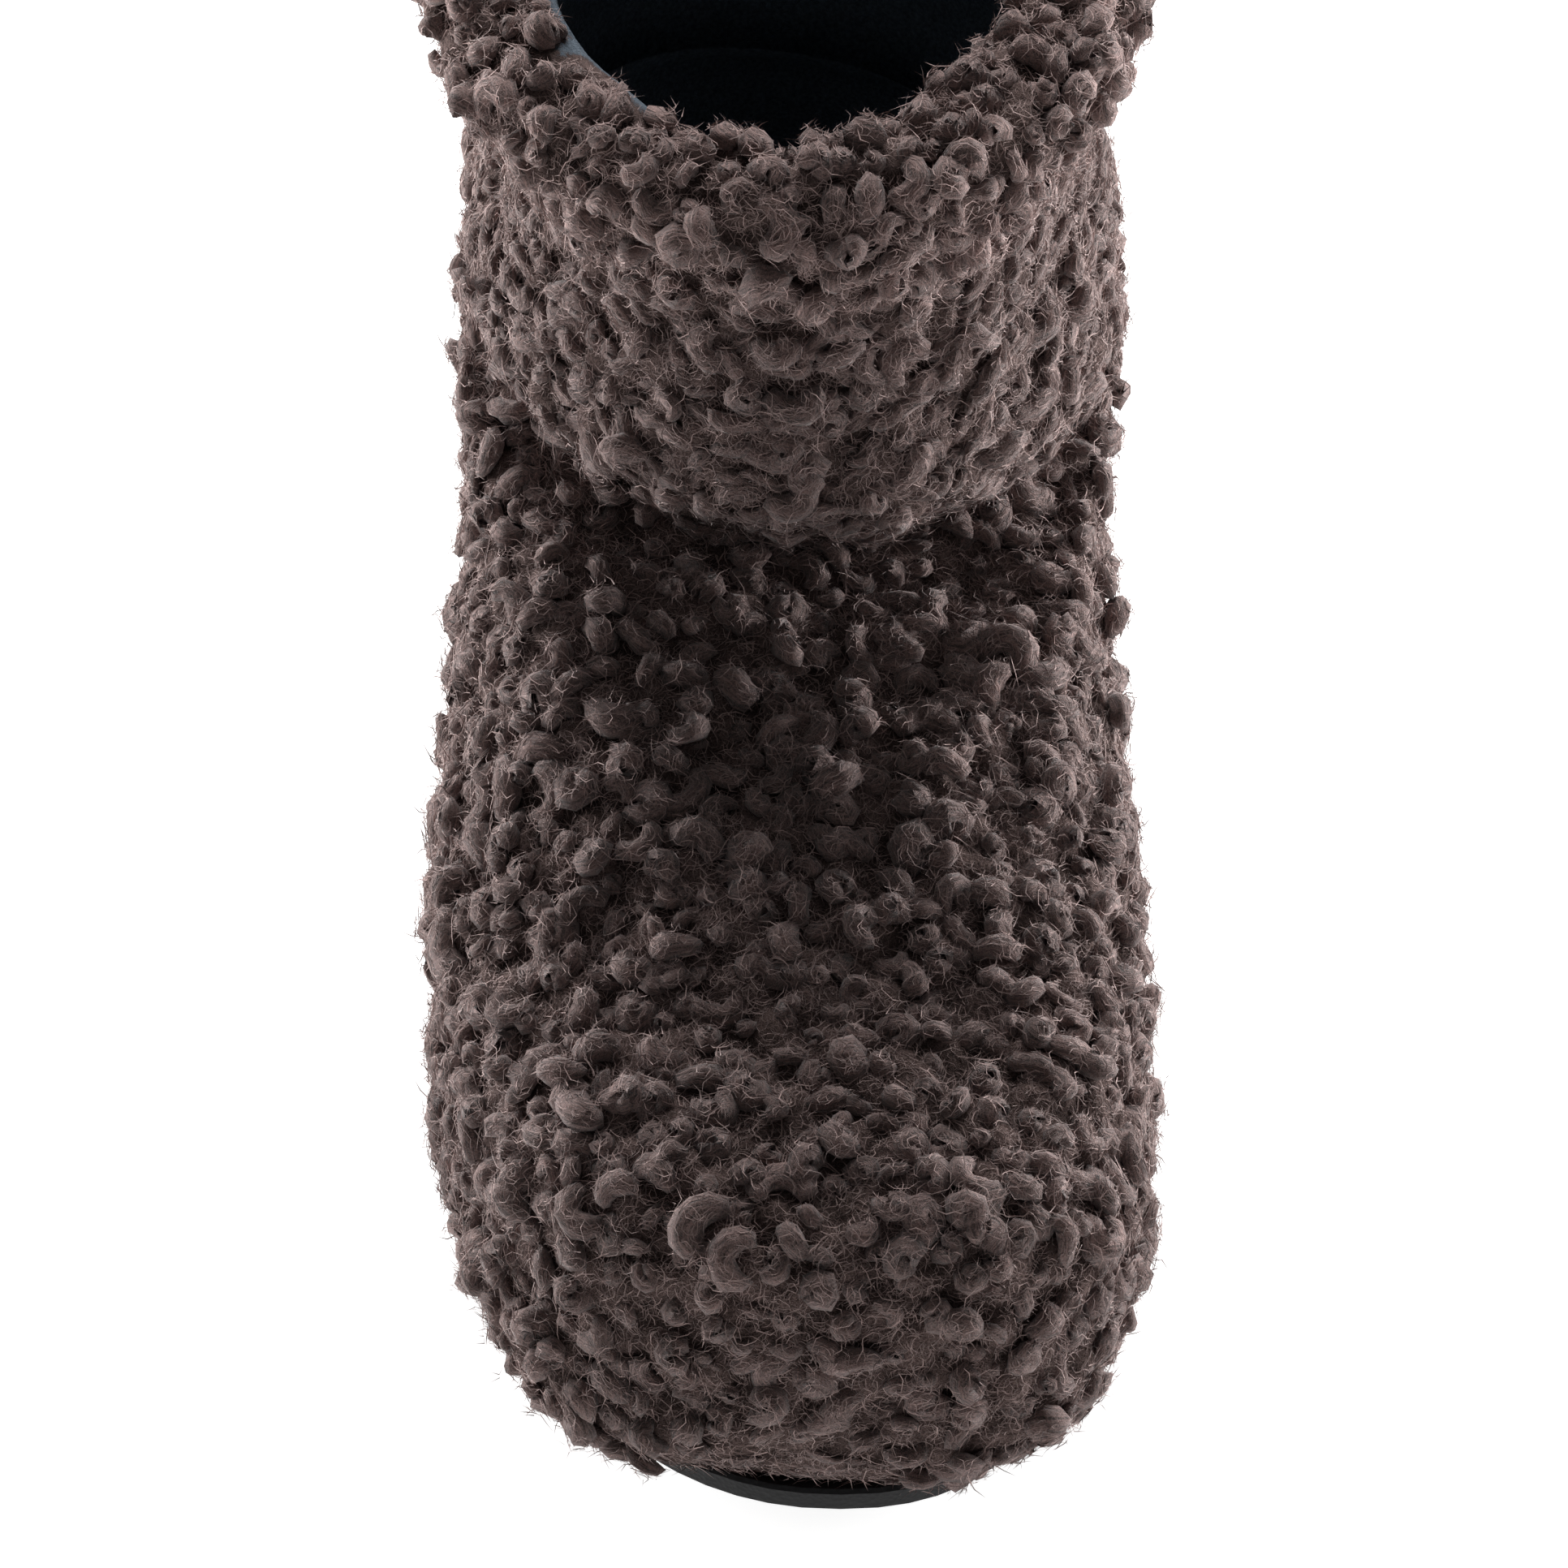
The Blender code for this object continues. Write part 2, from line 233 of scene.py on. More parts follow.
def mark_sides(node, shape):
    """Fills the layers outside and seam, both from 0 to 1. Returns the sewn and the outer vertices."""
    outside, seam = shape.verts.layers.float["outside"], shape.verts.layers.float["seam"]
    trees = [tree_of(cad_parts[other].data) for other in NEIGHBOURS[node]]
    sewn = {v for v in shape.verts if min(t.find_nearest(v.co)[3] for t in trees) < SEAM_REACH}
    for vertex in sewn:
        vertex[seam] = 1.0
    outer, inner = set(), set()
    for face in shape.faces:
        if all(v in sewn for v in face.verts):
            continue
        (outer if looks_outward(node, face) else inner).update(face.verts)
    for vertex in shape.verts:
        turn = COLLAR_TURN - LINING_UP_BY * nearness((vertex.co - LINING_UP).length, LINING_UP_REACH)
        if node == "shaft" and vertex.co.z > collar_top(vertex.co) - turn:
            vertex[outside] = 1.0
        elif vertex in outer and vertex not in inner:
            vertex[outside] = 1.0
        elif vertex in outer:
            vertex[outside] = 0.5
    return sewn, outer


# %% Smooth cloth from the plain walls
SMOOTHING_ROUNDS = 14
WELD = 0.01 * MM
SKIN_SPLITS = 2  # rounds of splitting, until a face is small enough to follow a crease


def smooth_loop(verts, rounds):
    """Evens out the vertices of an edge along the edge only."""
    loop = set(verts)
    for _ in range(rounds):
        moved = {}
        for vertex in verts:
            ends = [e.other_vert(vertex) for e in vertex.link_edges if e.other_vert(vertex) in loop]
            if len(ends) == 2:
                moved[vertex] = vertex.co * 0.5 + (ends[0].co + ends[1].co) * 0.25
        for vertex, place in moved.items():
            vertex.co = place


def cloth_shape(node):
    """A node's wall as smooth cloth, split finely on its outside."""
    shape = bmesh.new()
    shape.from_mesh(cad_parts[node].data)
    bmesh.ops.remove_doubles(shape, verts=shape.verts, dist=WELD)
    bmesh.ops.recalc_face_normals(shape, faces=shape.faces)
    for layer in ("outside", "seam"):
        shape.verts.layers.float.new(layer)
    sewn, outer = mark_sides(node, shape)
    edge = [v for v in shape.verts if v in sewn and v in outer]
    free = [v for v in shape.verts if v not in sewn]
    smooth_loop(edge, SMOOTHING_ROUNDS)
    axes = {"use_axis_x": True, "use_axis_y": True, "use_axis_z": True}
    for _ in range(SMOOTHING_ROUNDS):
        for factor in (0.5, -0.52):  # the second, outward step keeps the cloth from shrinking
            bmesh.ops.smooth_vert(shape, verts=free, factor=factor, **axes)
    outside = shape.verts.layers.float["outside"]
    for _ in range(SKIN_SPLITS):
        skin = {e for f in shape.faces if all(v[outside] > 0.4 for v in f.verts) for e in f.edges}
        edges = [e for e in shape.edges if e in skin]
        bmesh.ops.subdivide_edges(shape, edges=edges, cuts=1, use_grid_fill=True, smooth=0.0)
        bmesh.ops.triangulate(shape, faces=shape.faces[:])
    shape.normal_update()
    print(node, "cloth:", len(shape.verts), "vertices,", len(edge), "on its outer edges")
    return shape


cloth = {node: cloth_shape(node) for node in ("upper", "shaft")}

# %% [markdown]
# ### Creases
#
# The bootie has creased where it bends: a deep one under the shaft's front, where shaft and
# vamp meet, a shallow one across the toes, and a soft trough down the middle of the vamp. Each
# is a line laid on the shoe in its own millimetres. The cloth sinks along it, most in the
# middle and less towards its ends, and the curls go down with it.

# %% Crease lines
Crease = namedtuple("Crease", "depth half_width line")  # all in mm
CREASE_REACH = 2.5  # half widths, past which the cloth lies flat
CREASE_STARTS, CREASE_ENDS = 7.0, 5.0  # how steeply a crease deepens at its ends
ANKLE_LINE = [
    (-43, 18, 74), (-36, 6, 74), (-26, -2, 74), (-12, -7, 73),
    (4, -9, 72), (18, -7, 71), (30, 0, 70), (40, 12, 69),
]
TOE_LINE = [(-22, -79, 52), (-8, -82, 52), (8, -83, 51), (22, -82, 50), (38, -80, 44)]
TROUGH_LINE = [(-6, -22, 70), (-4, -38, 66), (-3, -55, 61)]
CREASES = {
    "ankle": Crease(4.5, 7.0, ANKLE_LINE),
    "toe bend": Crease(3.8, 5.0, TOE_LINE),
    "vamp trough": Crease(1.6, 9.0, TROUGH_LINE),
}


def crease_depth(point):
    """How deep the cloth sinks at a point, in metres."""
    depth = 0.0
    for deepest, half_width, line in CREASES.values():
        nearest, along = 1e9, 0.0
        for i, (a, b) in enumerate(zip(line, line[1:])):
            a, b = Vector(a) * MM, Vector(b) * MM
            t = min(max((point - a).dot(b - a) / (b - a).length_squared, 0.0), 1.0)
            gap = (point - a.lerp(b, t)).length
            if gap < nearest:
                nearest, along = gap, (i + t) / (len(line) - 1)
        if nearest < CREASE_REACH * half_width * MM:
            fade = min(1.0, CREASE_STARTS * along, CREASE_ENDS * (1.0 - along))
            depth = max(depth, deepest * MM * fade * nearness(nearest, half_width * MM))
    return depth


print("creases:", ", ".join(f"{name} {crease.depth} mm" for name, crease in CREASES.items()))

# %% [markdown]
# ### Pile that has packed down
#
# The pile's depth sets how far the cloth lies below the plain model's surface: deep on the
# foot, short at the collar's roll and where it meets the sole. A real bootie isn't even either.
# In some places its pile has packed down and in others it stands out, so a few trims move the
# cloth there. Soft round ones leave no edge that would show through the curls.

# %% Depth of the pile
PILE_DEPTH = 3.8 * MM
COLLAR_PILE_DEPTH = 1.2 * MM
SOLE_PILE_DEPTH = 0.8 * MM  # the pile is short where it meets the sole
SOLE_PILE_TOP, SOLE_PILE_RISE = 0.010, 0.020
COLLAR_PILE_FOOT, COLLAR_PILE_RISE = 0.118, 0.012
Trim = namedtuple("Trim", "place reach deeper")  # all in mm, deeper is negative where it stands out
TRIMS = (
    Trim((-50, -40, 28), 42, 0.5),
    Trim((-46, 56, 92), 22, 0.6),
    Trim((-50, 36, 56), 28, -1.8),
    Trim((48, 45, 64), 32, -3.2),
    Trim((-36, -114, 14), 22, -2.5),
    Trim((-24, -124, 8), 18, -1.8),
    Trim((30, -122, 10), 18, -1.4),
    Trim((-4, 17, 146), 17, 2.8),
)


def ramp(value, start, rise):
    """Goes from 0 to 1 as a value climbs from start by rise."""
    return min(max((value - start) / rise, 0.0), 1.0)


def pile_depth(point):
    """How far the cloth lies below the plain model's surface at a point, in metres."""
    trim = sum(
        deeper * MM * nearness((point - Vector(place) * MM).length, reach * MM)
        for place, reach, deeper in TRIMS
    )
    up = ramp(point.z, SOLE_PILE_TOP, SOLE_PILE_RISE)
    collar = ramp(point.z, COLLAR_PILE_FOOT, COLLAR_PILE_RISE)
    foot_part = trim + SOLE_PILE_DEPTH + (PILE_DEPTH - SOLE_PILE_DEPTH) * up
    return foot_part + (COLLAR_PILE_DEPTH - PILE_DEPTH) * collar


print("pile on the vamp, mm:", round(pile_depth(Vector((0.0, -0.04, 0.07))) / MM, 1))

# %% [markdown]
# ### Sinking the cloth
#
# Now every vertex of the outside goes down by the pile's depth and the crease's. The short dense
# pile at the curls' roots is knotted in soft domes with narrow valleys, which a cell pattern
# gives. Two places need care. At the ankle seam the two parts are sewn together, so both move
# by the same rule, in and down. And the lining must stay inside the sunken skin, so rays from
# it measure how far it has to move in.

# %% Knotted roots
KNOT_PITCH = 6.0 * MM  # from one tuft's root to the next
KNOT_HEIGHT = 2.4 * MM
KNOT_RADIUS = 0.68  # of the pitch
KNOT_ROUNDNESS = 0.8  # below 1 a dome rises steeply at its edge
KNOTS_START, KNOTS_RISE = 0.006, 0.022  # no knots where the pile meets the sole


def knot_height(point):
    """The short dense pile between the curls: soft domes with narrow valleys, from 0 to 1."""
    gap = noise.voronoi(point / KNOT_PITCH)[0][0]
    return max(0.0, 1.0 - (gap / KNOT_RADIUS) ** 2) ** KNOT_ROUNDNESS


def skin_step(vertex, outside, depth):
    """How a vertex of the outside moves: down by the pile and the crease, up by its knot."""
    knot = KNOT_HEIGHT * ramp(vertex.co.z, KNOTS_START, KNOTS_RISE) * vertex[depth]
    return -vertex.normal * ((pile_depth(vertex.co) - knot) * vertex[outside] + crease_depth(vertex.co))


# %% The ankle seam and the lining
WALL = 7.0 * MM
LINING_GAP = 3.0 * MM
RAY_START = 2.0 * MM  # rays start this far on the inner side of the wall
RAY_SPREAD = 4.0 * MM
LINING_TOP = 0.115  # above it the lining lies free in the collar
SEAM_FOOT = 0.03  # the seam at the sole is lower than this and doesn't move


def seam_step(vertex, outside):
    """How a vertex of the ankle seam moves: in and down, the same for both parts it joins."""
    level = (vertex.co - SHAFT_AXIS) * Vector((1.0, 1.0, 0.0))
    outer = vertex.co if vertex[outside] > 0.4 else vertex.co + level.normalized() * WALL
    way = (Vector((0.0, 0.0, -1.0)) - level.normalized()).normalized()
    return way * (0.5 * pile_depth(outer) + crease_depth(outer))


def lining_step(vertex, skin):
    """How far the lining must move in, so that it stays inside the sunken skin all round."""
    way, side = vertex.normal, vertex.normal.orthogonal().normalized() * RAY_SPREAD
    push = 0.0
    for shift in (Vector(), side, -side, way.cross(side), side.cross(way)):
        start = vertex.co + shift - way * (WALL + RAY_START)
        hit = skin.ray_cast(start, way, 3.0 * WALL)[3]
        if hit is not None:
            push = max(push, hit - WALL - RAY_START + LINING_GAP)
    return way * push


def skin_tree(shape):
    """The outside alone, as a search tree."""
    skin = shape.copy()
    outside = skin.verts.layers.float["outside"]
    lining = [f for f in skin.faces if any(v[outside] < 0.4 for v in f.verts)]
    bmesh.ops.delete(skin, geom=lining, context="FACES")
    tree = BVHTree.FromBMesh(skin)
    skin.free()
    return tree


# %% Moving the cloth
for node, shape in cloth.items():
    outside, seam = shape.verts.layers.float["outside"], shape.verts.layers.float["seam"]
    upright = shape.verts.layers.float_vector.new("upright")
    depth = shape.verts.layers.float.new("depth")
    steps = {}
    for vertex in shape.verts:
        vertex[upright] = vertex.normal
        if vertex[outside] > 0.0:
            vertex[depth] = knot_height(vertex.co)
        if vertex[seam] > 0.5 and vertex.co.z > SEAM_FOOT:
            steps[vertex] = seam_step(vertex, outside)
        elif vertex[outside] > 0.0:
            steps[vertex] = skin_step(vertex, outside, depth)
    for vertex, step in steps.items():
        vertex.co += step
    skin = skin_tree(shape)
    inner = [v for v in shape.verts if v[outside] == 0.0 and v[seam] < 0.5 and v.co.z < LINING_TOP]
    for vertex, step in [(v, lining_step(v, skin)) for v in inner]:
        vertex.co += step
    shape.normal_update()
    deepest = max(step.length for step in steps.values()) / MM
    print(node, "cloth:", len(shape.faces), "triangles, deepest step, mm:", round(deepest, 1))

# %% [markdown]
# ### Felted roots and fleece
#
# At their roots the curls are matted together like felt: fine fibres that swirl every way. The
# valleys between the knots are painted darker, as painted shade where no light reaches. The
# lining is a short slate blue fleece. Both are matt. One material holds the two and changes
# from one to the other where the cloth turns in at the collar. The nap shifts the change a
# little either way, so its edge is ragged, as the real one is.

# %% Fleece
FLEECE_DARK = "2b3138"
FLEECE_PALE = "78838e"
NAP_MM = 0.7  # one tuft of the fleece


def fleece_pattern(tree, coords):
    """Brushed fleece: the noise that stands for its nap, and the two blues mixed by it."""
    place, scale = coords.outputs["Object"], 1 / (NAP_MM * MM)
    nap = add_node(tree, "ShaderNodeTexNoise", Vector=place, Scale=scale, Detail=4.0)
    blues = {"_6": hex_colour(FLEECE_DARK), "_7": hex_colour(FLEECE_PALE)}
    colour = add_node(tree, "ShaderNodeMix", {"data_type": "RGBA"}, _0=nap.outputs["Fac"], **blues)
    return nap, colour


# %% Cloth material
PILE_DARK = "453936"
PILE_PALE = "7d6a66"
FIBRE_MM = 0.60  # a few matted fibres across, as coarse as it needs to be to show
VALLEY_LIGHT = 0.5  # painted shade: how bright the valleys are painted beside the domes
RAGGED = 0.9  # how far the nap shifts the line between pile and fleece

cloth_paint, tree, shader = new_material(
    "felted boucle roots and brushed fleece", Roughness=1.0, Specular_IOR_Level=0.1
)
coords = add_node(tree, "ShaderNodeTexCoord")
turned_in = add_node(tree, "ShaderNodeAttribute", {"attribute_name": "outside"})
depth = add_node(tree, "ShaderNodeAttribute", {"attribute_name": "depth"})
place, scale = coords.outputs["Object"], 1 / (FIBRE_MM * MM)
felt = add_node(tree, "ShaderNodeTexNoise", Vector=place, Scale=scale, Detail=3.0, Distortion=2.5)
felt_spread = add_node(tree, "ShaderNodeMapRange", _0=felt.outputs["Fac"], _1=0.35, _2=0.65)
browns = {"_6": hex_colour(PILE_DARK), "_7": hex_colour(PILE_PALE)}
roots = add_node(tree, "ShaderNodeMix", {"data_type": "RGBA"}, _0=felt_spread.outputs[0], **browns)
# painted shade: the knot height kept in depth paints the valleys darker than the domes
shade = add_node(tree, "ShaderNodeMapRange", _0=depth.outputs["Fac"], _3=VALLEY_LIGHT, _4=1.0)
dimmed = {"_0": roots.outputs[2], "Scale": shade.outputs[0]}
shaded = add_node(tree, "ShaderNodeVectorMath", {"operation": "SCALE"}, **dimmed)
nap, fleece = fleece_pattern(tree, coords)
shift = {"_0": nap.outputs["Fac"], "_1": RAGGED, "_2": turned_in.outputs["Fac"]}
ragged = add_node(tree, "ShaderNodeMath", {"operation": "MULTIPLY_ADD"}, **shift)
pile_side = add_node(tree, "ShaderNodeMapRange", _0=ragged.outputs[0], _1=0.60, _2=0.85)
sides = {"_0": pile_side.outputs[0], "_6": fleece.outputs[2], "_7": shaded.outputs[0]}
both = add_node(tree, "ShaderNodeMix", {"data_type": "RGBA"}, **sides)
bump = add_node(tree, "ShaderNodeBump", Height=felt.outputs["Fac"], Strength=1.0, Distance=0.4 * MM)
tree.links.new(both.outputs[2], shader.inputs["Base Color"])
tree.links.new(bump.outputs["Normal"], shader.inputs["Normal"])
print("cloth material:", len(tree.nodes), "nodes")


# %% Cloth pieces
def add_piece(name, mesh, material):
    """Puts a finished mesh on the shoe as a piece of its own."""
    mesh.materials.append(material)
    mesh.shade_smooth()
    piece = bpy.data.objects.new(name, mesh)
    bpy.context.scene.collection.objects.link(piece)
    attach(piece, "root")
    return piece


for node, shape in cloth.items():
    mesh = bpy.data.meshes.new(node + "_cloth")
    shape.to_mesh(mesh)
    piece = add_piece(node + "_cloth", mesh, cloth_paint)
    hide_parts(node)
    print(piece.name, len(mesh.polygons), "triangles")

# %% [markdown]
# ## One curl of yarn
#
# Each curl is a short length of fluffy yarn that has sprung into a ring, a comma, a knob or a
# hoop, or lies combed flat as a wave or a thinner lock. A curl is made from a small grid that is
# rolled into a tube along a line: the grid's x goes round the yarn and its y goes along it, and
# its two ends are drawn in to points. A grid knows how far along and how far round each vertex
# is, and the material uses that to lay its streaks along the fibres.

# %% Lines that the yarn follows
Yarn = namedtuple("Yarn", "line radius")
COIL_FOOT = 0.9  # mm above the cloth at which a ring starts
HOOP_SUNK = 0.8  # mm that a hoop's ends go into the cloth
WAVE_FOOT = 0.3  # mm above the cloth at which a lock's ends lie


def coil(loop, turns, rise, shrink, start):
    """A ring that winds upwards and inwards. Sizes in mm, t goes from 0 to 1 along it."""

    def line(t):
        reach = loop * (1.0 - shrink * t)
        turn = 2.0 * math.pi * turns * t + start
        return Vector((math.cos(turn) * reach, math.sin(turn) * reach, COIL_FOOT + rise * t))

    return line


def hoop(width, height, lean):
    """A loop that leaves the cloth, turns over and comes back to it."""

    def line(t):
        turn = math.pi * t
        up = math.sin(turn) * height - HOOP_SUNK
        return Vector((-math.cos(turn) * width, lean * math.sin(turn * 2.0), up))

    return line


def wave(length, sway, height):
    """A combed lock that lies along the cloth in a soft S."""

    def line(t):
        up = height * math.sin(math.pi * t) + WAVE_FOOT
        return Vector(((t - 0.5) * length, sway * math.sin(2.0 * math.pi * t), up))

    return line


# %% Kinds of curl
# what each kind of curl is, in mm: the line's sizes, then the yarn's radius. A coil has a loop,
# turns, rise and shrink, a hoop a width, height and lean, and a wave a length, sway and height.
KINDS = {
    "ringlet": (coil, (1.40, 1.15, 1.3, 0.55), 1.9),
    "comma": (coil, (2.5, 0.62, 0.9, 0.30), 2.1),
    "knob": (coil, (1.1, 1.00, 1.4, 0.50), 2.2),
    "hoop": (hoop, (2.2, 2.9, 0.6), 1.8),
    "wave": (wave, (8.0, 0.9, 1.2), 1.9),
    "lock": (wave, (8.5, 0.8, 0.5), 1.35),
}
VARIANTS = 6
KIND_SPREAD = 0.18


def varied_yarn(kind, seed):
    """One curl of a kind, with each of its sizes a little larger or smaller."""
    rng = np.random.default_rng(seed)
    make, sizes, radius = KINDS[kind]
    sizes = [size * (1.0 + KIND_SPREAD * rng.uniform(-1.0, 1.0)) for size in sizes]
    if make is coil:
        sizes.append(rng.uniform(0.0, 2.0 * math.pi))
    return Yarn(make(*sizes), radius * (1.0 + KIND_SPREAD * rng.uniform(-1.0, 0.6)))


# %% A tube of yarn from a rolled grid
YARN_SIDES = 6
YARN_STEPS = 9
LUMPINESS, LUMPS = 0.10, 11.0  # how far the yarn swells, and how often along it
TIP_START, TIP_SPAN = 0.04, 0.93  # the part of a half turn that rounds the yarn's ends
TAPER = 0.55  # below 1 the yarn stays full nearly to its ends
CURL_LENGTH_MM = 9.0  # of yarn in one curl, for the streaks along it
MERGE_MM = 0.001
LOOK_AHEAD = 0.02  # how far along the line its direction is taken
Shape = namedtuple("Shape", "points sizes corners fibre")


def across(line, t):
    """Two directions that cross a line at t, for rolling a tube round it."""
    ahead = (line(min(t + LOOK_AHEAD, 1.0)) - line(max(t - LOOK_AHEAD, 0.0))).normalized()
    side = ahead.cross(Vector((0.0, 0.0, 1.0)))
    side = side.normalized() if side.length > 0.05 else Vector((0.0, 1.0, 0.0))
    return side, side.cross(ahead).normalized()


def arrays_of(shape, layer):
    """A shape's points, corners per face, corner numbers and fibre directions, as arrays."""
    bmesh.ops.remove_doubles(shape, verts=shape.verts, dist=MERGE_MM)
    shape.verts.index_update()
    points = np.array([v.co for v in shape.verts]) * MM
    fibre = np.array([v[layer] for v in shape.verts])
    sizes = np.array([len(f.verts) for f in shape.faces])
    corners = np.array([v.index for f in shape.faces for v in f.verts])
    shape.free()
    return Shape(points, sizes, corners, fibre)


def yarn_shape(yarn, mirrored):
    """A closed tube of yarn along its line, winding the other way if it is mirrored."""
    shape = bmesh.new()
    layer = shape.verts.layers.float_vector.new("fibre")
    bmesh.ops.create_grid(shape, x_segments=YARN_SIDES, y_segments=YARN_STEPS, size=1.0)
    for vertex in shape.verts:
        around, t = math.pi * (vertex.co.x + 1.0), (vertex.co.y + 1.0) / 2.0
        side, up = across(yarn.line, t)
        lumpy = 1.0 + LUMPINESS * math.sin(LUMPS * t + 2.0 * around)
        radius = yarn.radius * math.sin(math.pi * (TIP_START + TIP_SPAN * t)) ** TAPER * lumpy
        if t < 0.001 or t > 0.999:
            radius = 0.0
        c, s = math.cos(around), math.sin(around)
        vertex.co = yarn.line(t) + (side * c + up * s) * radius
        vertex[layer] = Vector((c * yarn.radius, s * yarn.radius, t * CURL_LENGTH_MM))
    if mirrored:
        bmesh.ops.scale(shape, vec=(1.0, -1.0, 1.0), verts=shape.verts)
    bmesh.ops.remove_doubles(shape, verts=shape.verts, dist=MERGE_MM)
    bmesh.ops.recalc_face_normals(shape, faces=shape.faces)
    return arrays_of(shape, layer)


curl_shapes, curls_of_kind = [], {}
for kind in KINDS:
    for i in range(VARIANTS):
        curls_of_kind.setdefault(kind, []).append(len(curl_shapes))
        curl_shapes.append(yarn_shape(varied_yarn(kind, 10 * i + len(kind)), i % 2 == 1))
print(len(curl_shapes), "shapes of curl, faces of one:", len(curl_shapes[0].sizes))

# %% [markdown]
# ## Sowing the curls
#
# Real curls stand close together but never on top of each other. Places are thrown at random
# on the cloth and one is kept only where no other is too near, so the pile has no rows. What
# grows there depends on where it is: ringlets, commas and knobs on the toe and the vamp, combed
# locks among them along the foot's sides, mostly locks round the shaft, tall ringlets and knobs
# on the collar, and short flat locks where the toe meets the sole.

# %% How the pile grows in each place
Growth = namedtuple("Growth", "spacing size height comb tilt kinds")
# spacing in mm, size and height as factors, comb 0 = any way to 1 = along, tilt in degrees
GROWTH = {
    "toe": Growth(4.2, 1.05, 0.76, 0.20, 26, "ringlet ringlet comma comma knob knob hoop"),
    "vamp": Growth(4.3, 1.12, 0.78, 0.20, 26, "ringlet ringlet comma comma knob knob hoop"),
    "sides": Growth(4.0, 1.02, 0.70, 0.55, 24, "ringlet comma knob lock lock lock hoop"),
    "sole_edge": Growth(3.0, 0.80, 0.45, 0.92, 5, "lock"),
    "shaft": Growth(3.5, 0.95, 0.72, 0.86, 18, "lock lock lock wave comma ringlet"),
    "collar": Growth(4.0, 0.98, 1.00, 0.25, 34, "ringlet knob comma hoop knob"),
}
COLLAR_BAND = 0.024  # the collar's pile goes this far down from its top
TOE_END, VAMP_END = -0.062, 0.01
VAMP_FOOT = 0.048
TOE_EDGE_START = -0.100  # a short combed band at the very front of the toe
TOE_EDGE_TOP = 0.019
TOE_EDGE_MIDDLE, TOE_EDGE_REACH = 0.005, 0.032
TOE_EDGE_WANDER, WANDERS = 0.002, 90.0  # how far the band's edge wanders, and how often in a metre


def growth_at(node, point):
    """The name of the pile that grows at a point."""
    if node == "shaft":
        return "collar" if point.z > collar_top(point) - COLLAR_BAND else "shaft"
    across_toe = max(0.0, 1.0 - ((point.x - TOE_EDGE_MIDDLE) / TOE_EDGE_REACH) ** 2)
    uneven = TOE_EDGE_WANDER * noise.noise(point * WANDERS)
    if point.y < TOE_EDGE_START and point.z < TOE_EDGE_TOP * across_toe + uneven:
        return "sole_edge"
    if point.y < TOE_END:
        return "toe"
    return "vamp" if point.z > VAMP_FOOT and point.y < VAMP_END else "sides"


print("kinds of pile:", ", ".join(GROWTH))

# %% Places at random on the skin
Skin = namedtuple("Skin", "points uprights")


def thrown(node, count, rng):
    """Places thrown evenly at random on the outside of the cloth, with the way up at each."""
    shape = cloth[node]
    outside = shape.verts.layers.float["outside"]
    upright = shape.verts.layers.float_vector["upright"]
    faces = [f for f in shape.faces if all(v[outside] > 0.4 for v in f.verts)]
    corners = np.array([[v.co for v in f.verts] for f in faces])
    ways = np.array([[v[upright] for v in f.verts] for f in faces])
    sides = corners[:, 1] - corners[:, 0], corners[:, 2] - corners[:, 0]
    area = np.linalg.norm(np.cross(*sides), axis=1) / 2
    chosen = rng.choice(len(faces), count, p=area / area.sum())
    u, v = rng.random((2, count))
    u, v = np.where(u + v > 1, 1 - u, u), np.where(u + v > 1, 1 - v, v)
    weights = np.stack([1 - u - v, u, v], axis=1)[:, :, None]
    points, uprights = (corners[chosen] * weights).sum(axis=1), (ways[chosen] * weights).sum(axis=1)
    return Skin(points, uprights / np.linalg.norm(uprights, axis=1)[:, None])


# %% Keeping the places that have room
Place = namedtuple("Place", "point upright growth")
CELL = 4.6 * MM  # places are looked up by the cell they lie in, a little wider than any spacing
THROWS = {"upper": (32000, 5), "shaft": (22000, 6)}  # how many places are thrown, and the seed


def sow(node, count, seed):
    """Places on the outside of the cloth, none nearer to another than its pile's spacing."""
    skin = thrown(node, count, np.random.default_rng(seed))
    around = list(product((-1, 0, 1), repeat=3))
    cells, kept = {}, []
    for point, upright in zip(skin.points, skin.uprights):
        point = Vector(point)
        growth = growth_at(node, point)
        key = tuple(int(c // CELL) for c in point)
        near = [q for i, j, k in around for q in cells.get((key[0] + i, key[1] + j, key[2] + k), ())]
        if all((point - q).length > GROWTH[growth].spacing * MM for q in near):
            cells.setdefault(key, []).append(point)
            kept.append(Place(point, Vector(upright), growth))
    print(node, "curls:", len(kept))
    return kept


sown = {node: sow(node, *throws) for node, throws in THROWS.items()}

# %% Standing each curl on the cloth
SIZE_SPREAD = 0.34
ROOTED = 0.6 * MM  # how deep a curl's foot is felted into the cloth
CREASED_SMALLER = 70.0  # a curl in a crease is pressed smaller, by this for each metre it sinks


def combed_way(node, place):
    """The direction in which the pile is combed: round the shaft, and along the foot."""
    round_shaft = Vector((0.0, 0.0, 1.0)).cross(place.upright)
    along_foot = Vector((0.0, -1.0, -0.2))
    way = round_shaft if node == "shaft" or place.growth == "sole_edge" else along_foot
    way = way - place.upright * way.dot(place.upright)
    return way.normalized() if way.length > 1e-4 else place.upright.orthogonal().normalized()


